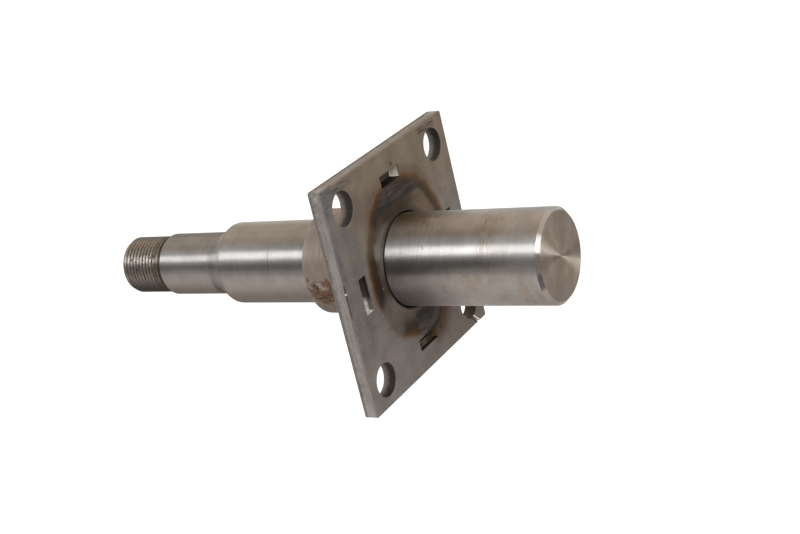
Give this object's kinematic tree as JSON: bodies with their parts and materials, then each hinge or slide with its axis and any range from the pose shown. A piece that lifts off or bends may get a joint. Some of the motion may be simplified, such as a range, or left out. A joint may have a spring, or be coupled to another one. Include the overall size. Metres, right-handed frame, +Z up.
{
  "type": "axle spindle",
  "caption": "Straight trailer axle spindle: plain stub, welded square brake flange, stepped bearing journals and a threaded end for the hub nut.",
  "frame": {"origin": "on the spindle's axis, at the flange's face on the stub side", "axes": "+X along the axis towards the stub's free end, +Z up with the flange's edges level and upright, +Y across"},
  "size_m": [0.2118, 0.096, 0.0944],
  "materials": {
    "turned_steel": "turned and ground, dull, with a thin film of oil and a little rust",
    "plate_steel": "mill finish plate, heat tinted round the weld",
    "weld_steel": "as welded, dark grey"
  },
  "bodies": {
    "root": {"spindle": "turned_steel", "brake_flange": "plate_steel", "flange_weld": "weld_steel"}
  },
  "joints": []
}
